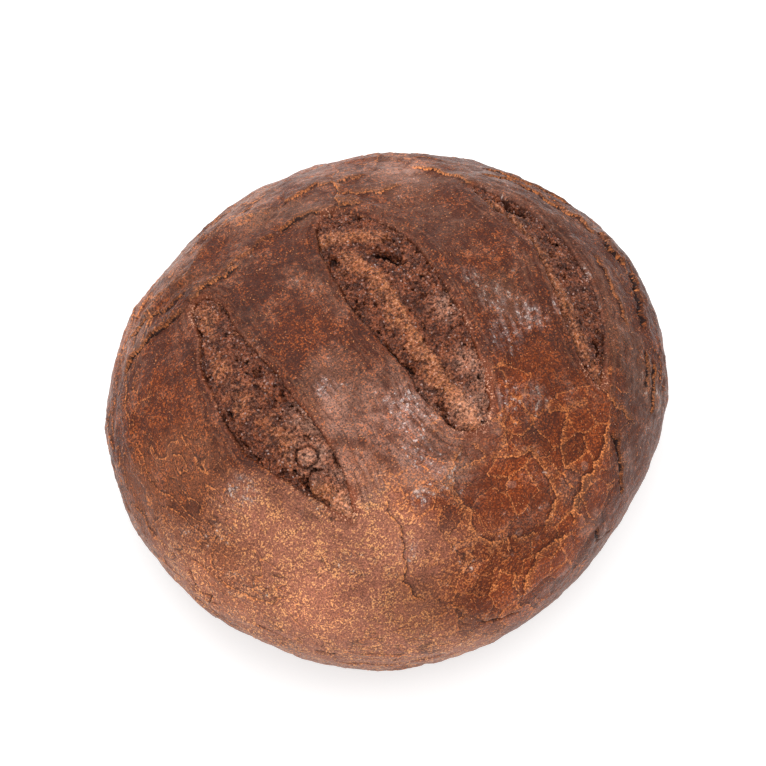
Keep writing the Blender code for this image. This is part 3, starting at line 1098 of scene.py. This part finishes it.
def crust_finish():
    """Baked rye crust: brown, finely flecked, mottled, satin, streaked or crackled by place."""
    material, sheet, shader = finish(
        "rye_crust", Specular_IOR_Level=0.22, Sheen_Weight=0.36, Sheen_Roughness=0.1)
    place = sheet.place()
    lip = sheet.field("lip")
    broad = sheet.noise(place, 22 * MM, 3)
    medium = sheet.noise(place, 7 * MM, 3, 0.6)
    small = sheet.noise(place, 2.4 * MM, 3, 0.6)
    fine = sheet.noise(place, 0.9 * MM, 2, 0.65)
    grit = sheet.noise(sheet.vector("ADD", place, (0.3, 0.1, 0.2)), 0.55 * MM, 1, 0.6)
    lines = strata(sheet, place, 1.3 * MM)
    ragged_edge = (broad - 0.5) * 1.2 + (medium - 0.5) * 0.9 + (small - 0.5) * 0.4
    crackled, satin, rusty, dusky, tanned, ashen_sheen, darker, paler, starchy = (
        sheet.steps(sheet.field(name) + ragged_edge, -0.05, 0.95)
        for name in (
            "crackled", "satin", "rusty", "dusky", "tanned", "ashen_sheen", "darker", "paler", "film_glints")
    )
    mottled = sheet.steps(sheet.field("mottled") + ragged_edge * 0.45, 0.0, 1.0)
    edge, tone = crackle(sheet, place, CRACKLE_SIZE)
    near = sheet.steps(sheet.field("crackled"), 0.10, 0.35)
    plate = (tone - 0.5) * near

    coats = Coats(sheet, CRUST_BROWN)
    coats.over(mottled, MOTTLED_BROWN)
    coats.over(tanned * (1 - mottled * 0.5) * 0.7, TANNED_BROWN)
    coats.over(crackled, CRACKLE_BROWN)
    coats.over(satin * 0.85, SATIN_BROWN)
    rust = sheet.steps(medium * 0.7 + small * 0.3 + rusty * 0.12, 0.48, 0.66)
    rust = rust * (0.35 + rusty * 0.15 - satin * 0.25 - mottled * 0.3)
    coats.over(rust, CRUST_RUST)
    # grey patches, a little glossier: partly the crust's own tone, partly painted sheen
    grey = broad * 0.6 + small * 0.4 + (lines - 0.5) * 0.2 + dusky * 0.10
    grey = sheet.steps(grey, 0.47, 0.66)
    greyed = 0.42 + dusky * 0.2 - crackled * 0.36 - mottled * 0.3
    coats.over(grey * greyed, CRUST_GREY)
    # grey patches: partly the crust's own tone, partly painted sheen
    ashy = ashen_sheen * sheet.steps(medium * 0.6 + lines * 0.4, 0.40, 0.60, 0.25)
    coats.over(ashy * 0.85, ASH)
    height = sheet.channel(place, "Z")
    # paler and greyer low on the flanks: painted reflection of the bright surroundings at grazing
    # angles
    low_reflection = sheet.steps(height + (broad - 0.5) * 20 * MM, 56 * MM, 30 * MM)
    coats.over(low_reflection * 0.35, ASH)
    # bran under the skin: clouds of specks and short threads, thick where mottled
    clouds = (medium - 0.5) * 0.3 + (small - 0.5) * 0.35
    cover = 0.555 - mottled * 0.02 - crackled * 0.03 - rusty * 0.03 + satin * 0.03
    specks = sheet.steps(fine * 0.65 + grit * 0.35 + clouds - cover, -0.01, 0.10)
    threads = veins(sheet, warped(sheet, place, 3 * MM, 1.2 * MM), 2.2 * MM, 0.16 * MM)
    strewn = sheet.steps(clouds + (fine - 0.5) * 0.6 + mottled * 0.06, 0.04, 0.16)
    threads = threads * (1 - mottled * 0.5) * strewn
    bran = specks.or_more(threads * 0.6)
    speck = sheet.blend(mottled * (1 - crackled * 0.8), ORANGE, MOTTLED_SPECK)
    coats.over(bran * (0.5 + mottled * 0.2 - crackled * 0.1), speck)
    scorched = sheet.steps(fine * 0.5 + grit * 0.5 - (medium - 0.5) * 0.4, 0.47, 0.33)
    coats.over(scorched * (0.5 - mottled * 0.38 - crackled * 0.25), CRUST_DEEP)
    flecks = dots(sheet, place, 1.6 * MM, 0.6, 0.08 * MM, 0.34 * MM)
    flecks = flecks.or_more(dots(sheet, place, 0.95 * MM, 0.5, 0.07 * MM, 0.26 * MM))
    flecks = flecks * sheet.steps(small + crackled * 0.1, 0.30, 0.5, 0.3) * (0.75 - satin * 0.3)
    coats.over(flecks, sheet.blend(grit, ORANGE, TAN))
    # thin edges where the skin has flaked, with painted shadow under them
    crumbling = sheet.steps(fine, 0.40, 0.56)
    flaky = sheet.steps(sheet.field("streaked") + mottled * 0.3 + (broad - 0.5), 0.25, 0.75)
    level = sheet.field("down") + (medium - 0.5) * 5 * MM + (fine - 0.5) * 1.4 * MM
    level = level / (3.4 * MM)
    level = level.maths("FRACT", level)
    patches = sheet.steps(small * 0.6 + broad * 0.4, 0.50, 0.56) * flaky
    flakes = sheet.steps(abs(level - 0.5), 0.075, 0.025) * patches
    coats.over(flakes * crumbling * 0.6, PALE_EDGE)
    shadow = sheet.steps(level, 0.32, 0.43) * sheet.steps(level, 0.48, 0.44) * patches
    coats.over(shadow * 0.5, CRUST_DEEP)
    layer = flaking(sheet, place)[1]
    for step in (0.4475, 0.5675):
        off = layer - step
        lit = sheet.steps(abs(off - 0.006), 0.010, 0.003) * flaky
        coats.over(lit * crumbling * 0.7, PALE_EDGE)
        # painted shadow just under each layer's edge
        under = sheet.steps(off, -0.035, -0.004) * sheet.steps(off, 0.0, -0.004) * flaky
        coats.over(under * 0.6, CRUST_DEEP)
    # crumbling edges of the crackled plates, pale on some and dark on others: cracks with painted
    # shadow
    bitten = medium * 0.5 + tone * 0.5
    band = sheet.steps(edge, 0.7 * MM, 0.1 * MM) * sheet.steps(bitten, 0.40, 0.50) * near
    coats.over(band * crumbling * 0.65, PALE_EDGE)
    cleft_and_shadow = sheet.steps(edge, 0.26 * MM, 0.05 * MM) * sheet.steps(bitten, 0.60, 0.48) * near
    coats.over(cleft_and_shadow * 0.7, CRUST_DEEP)
    # torn seams: brighter towards a pale edge on the proud side, darker with painted shadow on the
    # other
    pale = sheet.field("pale")
    reach = sheet.field("seam") + (fine - 0.5) * 1.2 + (small - 0.5) * 2.2
    glow = sheet.steps(reach, 4.5, 0.1) * sheet.steps(reach, -0.2, 0.2) * pale
    coats.over(glow * (0.12 + bran * 0.4), TAN)
    # painted shadow on the lower side of the step
    under = sheet.steps(reach, -2.2, -0.1) * sheet.steps(reach, 0.1, -0.2) * pale
    coats.over(under * 0.55, CRUST_DEEP)
    torn = sheet.steps(abs(reach - 0.15), 0.42, 0.08) * pale
    torn = torn * sheet.steps(grit + (small - 0.5) * 0.8, 0.35, 0.5)
    coats.over(torn * 0.75, PALE_EDGE)
    # painted shade inside a gaping crack
    gap = sheet.field("gap")
    inside = sheet.steps(abs(reach + 0.3) - gap * 0.5, 0.15, -0.1)
    coats.over(inside * sheet.steps(gap, 0.08, 0.35), DEEP_CRACK)
    # short hair cracks
    crack = veins(sheet, warped(sheet, place, 2 * MM, 0.8 * MM), 13 * MM, 0.22 * MM)
    weak = small * 0.5 + sheet.noise(place, 5 * MM, 0) * 0.5 - mottled * 0.03
    crack = crack * sheet.steps(weak, 0.59, 0.63)
    coats.over(crack * 0.6, DEEP_CRACK)
    # beside the slashes the crust is stretched into fine lines, and frays into crumb
    stretched = sheet.steps(lip + (medium - 0.5) * 18, 15, 2)
    coats.over(stretched * sheet.steps(lines, 0.50, 0.62) * 0.5, CRUST_GREY)
    coats.over(stretched * sheet.steps(lines, 0.48, 0.38) * 0.55, CRUST_DEEP)
    blended = sheet.field("blended")
    frayed = sheet.steps(lip + (medium - 0.5) * 9 + (small - 0.5) * 6 - blended * 2.5, 1.2, -1.2)
    coats.over(frayed * 0.8, sheet.blend(specks, CRUMB_BROWN, CRUMB_PALE))
    # painted shade at the crust's lips, where the crumb tucks under them
    shade_at_lip = sheet.steps(lip + (small - 0.5) * 2, 0.3, -0.9)
    coats.over(shade_at_lip * (0.85 - blended * 0.85), HOLE_SHADE)
    # a thin dry film of starch, in streaks, with painted sheen and painted glints on it, and small
    # dry scales
    drawn = sheet.vector("MULTIPLY", warped(sheet, place, 2.2 * MM, 2.6 * MM), (1, 0.6, 1))
    shard = sheet.channel(sheet.cells(drawn, 0.9 * MM).beside("Color"))
    # painted sheen, partly a dull film of starch
    film_sheen = starchy * sheet.steps(lines * 0.5 + small * 0.5, 0.42, 0.62)
    coats.over(film_sheen * 0.5, FILM_SHEEN)
    # painted glints, small bright shards on the film
    film_glints = sheet.steps(shard + (small - 0.5) * 1.6 + starchy * 0.25, 1.12, 1.22)
    film_glints = film_glints * sheet.steps(starchy, 0, 0.3)
    scales = dots(sheet, warped(sheet, place, 1.6 * MM, 1.6 * MM), 6 * MM, 0.2, 0.15 * MM, 1.9 * MM)
    scales = scales * crackled.or_more(mottled * 0.6)
    coats.over(scales * 0.35, ASH)
    dry = film_sheen.or_more(scales * 0.3)
    coats.over(film_glints * sheet.steps(fine + grit, 0.85, 1.1, 0.3) * 0.7, GLINT_WHITE)
    # flour pressed into the flat sole
    sole = sheet.steps(height + (small - 0.5) * 4 * MM, 3 * MM, 1 * MM)
    floury = sole * sheet.steps(medium * 0.5 + fine * 0.5, 0.40, 0.56, 0.15)
    coats.over(floury * 0.6, FLOUR)
    shade = sheet.steps(grit + (fine - 0.5) * 0.6, 0.28, 0.72, 0.60, 1.38)
    # paler and darker by zone: partly tone, partly painted light and shade
    zone_brightness = 1 + paler * 0.35 - darker * 0.25
    coats.scaled(shade * zone_brightness * (1 + plate * 0.45))
    coats.over(0.3 + darker * 0.7, WARM_TINT, "MULTIPLY")

    roughness = 0.52 + (grit - 0.5) * 0.5 + mottled * 0.05 - dry * 0.2 - grey * 0.12
    relief = small * 0.65 + fine * 0.32 + grit * 0.22 + lines * stretched * 0.5
    dress(sheet, shader, coats.colour, roughness, relief * MM)
    return material


def grain_finish(name, dark, light, glint):
    """Flecks of bran or grains of crumb: brown to tan, each in a tone of its own."""
    material, sheet, shader = finish(name, Specular_IOR_Level=0.45)
    tone = sheet.field("tone")
    grit = sheet.noise(sheet.place(), 0.4 * MM, 1)
    coats = Coats(sheet, dark)
    coats.over(sheet.steps(tone, 0.2, 0.9), light)
    # painted glints on a few grains
    coats.over(sheet.steps(tone, 1 - glint, 1.01 - glint) * 0.4, GLINT_WHITE)
    paler = sheet.field("paler")
    coats.over(paler * 0.2, CRUMB_PALE)
    coats.scaled(sheet.steps(grit, 0.3, 0.7, 0.7, 1.2) * (1 + paler * 0.3))
    dress(sheet, shader, coats.colour, 0.35 + (grit - 0.5) * 0.4, grit * 0.1 * MM)
    return material


def crumb_finish():
    """Torn crumb: rough, grained, with painted shade in its pores and paler and warmer ridges."""
    material, sheet, shader = finish("torn_crumb", Specular_IOR_Level=0.34)
    place = sheet.add("ShaderNodeTexCoord", output="Object")
    broad = sheet.noise(place, 14 * MM, 2)
    medium = sheet.noise(place, 4.5 * MM, 3, 0.6)
    small = sheet.noise(place, 2.1 * MM, 3, 0.6)
    fine = sheet.noise(place, 1.0 * MM, 2, 0.6)
    grit = sheet.noise(sheet.vector("ADD", place, (0.3, 0.1, 0.2)), 0.5 * MM, 1, 0.6)
    fibres = sheet.noise(sheet.vector("MULTIPLY", place, (0.3, 1, 1)), 0.8 * MM, 2)
    ragged_edge = (broad - 0.5) * 1.6 + (medium - 0.5) * 1.2 + (small - 0.5) * 0.8
    ridge = sheet.steps(sheet.field("ridge") + ragged_edge * 0.8, 0.15, 0.95)
    paler, dome = sheet.field("paler"), sheet.field("dome")
    coats = Coats(sheet, CRUMB_DARK)
    coats.over(sheet.steps(medium, 0.35, 0.6), CRUMB_BROWN)
    coats.over(ridge * 0.85, CRUMB_WARM)
    coats.over(ridge * sheet.steps(fibres, 0.50, 0.62) * 0.45, TAN)
    coats.over(paler * 0.28, CRUMB_PALE)
    # painted shade in the hollows of the fine relief
    hollow_shade = sheet.steps(small * 0.4 + fine * 0.6, 0.50, 0.38)
    coats.over(hollow_shade * (0.85 - ridge * 0.5 - dome * 0.5), CRUMB_DARK)
    warm = sheet.steps(fine * 0.6 + grit * 0.4 + (medium - 0.5) * 0.4, 0.50, 0.64)
    coats.over(warm * (0.2 + ridge * 0.15), ORANGE)
    pale = sheet.steps(small * 0.3 + fine * 0.7, 0.56, 0.66)
    coats.over(pale * (0.2 + ridge * 0.4), CRUMB_PALE)
    # painted glints on the crumb
    moved = warped(sheet, place, 1 * MM, 0.5 * MM)
    glints = dots(sheet, moved, 1.3 * MM, 0.4, 0.12 * MM, 0.40 * MM)
    glints = glints * sheet.steps(broad * 0.5 + small * 0.5, 0.45, 0.58)
    coats.over(glints * 0.8, GLINT_WHITE)
    # painted shade on the crumb's edge, under the crust's lips
    shade_under_lip = sheet.steps(sheet.field("reach") + (small - 0.5) * 3, -1.5, -0.2)
    shade_under_lip = shade_under_lip * sheet.steps(medium, 0.40, 0.50)
    coats.over(shade_under_lip * (0.7 - sheet.field("blended") * 0.7), HOLE_SHADE)
    # painted shade where the crumb lies low, in its pores and in the bubbles' grooves
    shade_in_holes = sheet.steps(sheet.field("level") + (fine - 0.5) * 2, -2.2, -4.6)
    shade_in_holes = shade_in_holes.or_more(sheet.field("pore") * 0.85)
    shade_in_holes = shade_in_holes.or_more(sheet.steps(sheet.field("groove"), 0.4, 1.0) * 0.6)
    coats.over(shade_in_holes, HOLE_SHADE)
    coats.scaled(sheet.steps(grit, 0.3, 0.7, 0.8, 1.2))
    # lighter on the crests of the fine relief and darker in its hollows: painted light and shade
    coats.scaled(sheet.steps(fine * 0.6 + small * 0.4, 0.42, 0.58, 0.6, 1.4))
    # paler and darker by zone: partly tone, partly painted light and shade
    coats.scaled(1 + paler * 0.4 - sheet.field("shaded") * 0.22)
    relief = small * 1.6 + fine * 1.1 + grit * 0.3 + fibres * ridge * 0.5
    dress(sheet, shader, coats.colour, 0.30 + (grit - 0.5) * 0.6, relief * MM)
    return material


# ---- stage ----


def make_stage():
    """A pale floor just under the sole, a white sky and two soft lamps."""
    bpy.ops.mesh.primitive_plane_add(size=FLOOR_SIZE, location=(0, 0, -FLOOR_DROP))
    floor = bpy.context.object
    floor.name = "floor"
    material, _, _ = finish(
        "pale_floor", Base_Color=FLOOR_GREY, Roughness=0.8, Emission_Color=WHITE,
        Emission_Strength=FLOOR_GLOW)
    floor.data.materials.append(material)
    world = bpy.data.worlds.new("studio")
    world.use_nodes = True
    sky = world.node_tree.nodes["Background"].inputs
    sky["Color"].default_value = WHITE
    sky["Strength"].default_value = SKY_STRENGTH
    bpy.context.scene.world = world
    for name, (place, size, power) in LAMPS.items():
        add_lamp(name, place, size, power)


def add_lamp(name, place, size, power):
    lamp = bpy.data.lights.new(name, "AREA")
    lamp.size = size
    lamp.energy = power
    made = bpy.data.objects.new(name, lamp)
    made.location = place
    made.rotation_euler = (-Vector(place)).to_track_quat("-Z", "Y").to_euler()
    bpy.context.scene.collection.objects.link(made)


def add_camera():
    bearing, height = math.radians(CAMERA_BEARING), math.radians(CAMERA_HEIGHT)
    level = math.cos(height)
    back = Vector((math.sin(bearing) * level, -math.cos(bearing) * level, math.sin(height)))
    camera = bpy.data.cameras.new("camera")
    camera.lens = CAMERA_LENS
    camera.sensor_width = CAMERA_SENSOR
    made = bpy.data.objects.new("camera", camera)
    made.location = Vector(CAMERA_AIM) + CAMERA_AWAY * back
    made.rotation_euler = back.to_track_quat("Z", "Y").to_euler()
    bpy.context.scene.collection.objects.link(made)
    bpy.context.scene.camera = made


def main():
    bpy.context.scene.view_settings.view_transform = "Standard"
    crust = shaped(make_crust(), crust_tree(), CRUST_RELIEF | {"Finish": crust_finish()})
    pieces = [crust]
    crumb_shape, crumb_values = crumb_tree(), CRUMB_RELIEF | {"Finish": crumb_finish()}
    for name in SLASHES:
        pieces.append(shaped(make_crumb(name), crumb_shape, crumb_values))
    strewn = scatter_tree()
    flecks = FLECKS | {"Finish": grain_finish("bran_fleck", CRUST_RUST, TAN, 0.03)}
    grains = GRAINS | {"Finish": grain_finish("crumb_grain", CRUMB_DARK, CRUMB_WARM, 0.12)}
    for under in list(pieces):
        loose = bpy.data.objects.new(f"{under.name}_grains", under.data)
        bpy.context.scene.collection.objects.link(loose)
        pieces.append(shaped(loose, strewn, flecks if under is crust else grains))
    for piece in pieces:
        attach(piece, "root")
    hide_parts("loaf")
    make_stage()
    add_camera()


main()
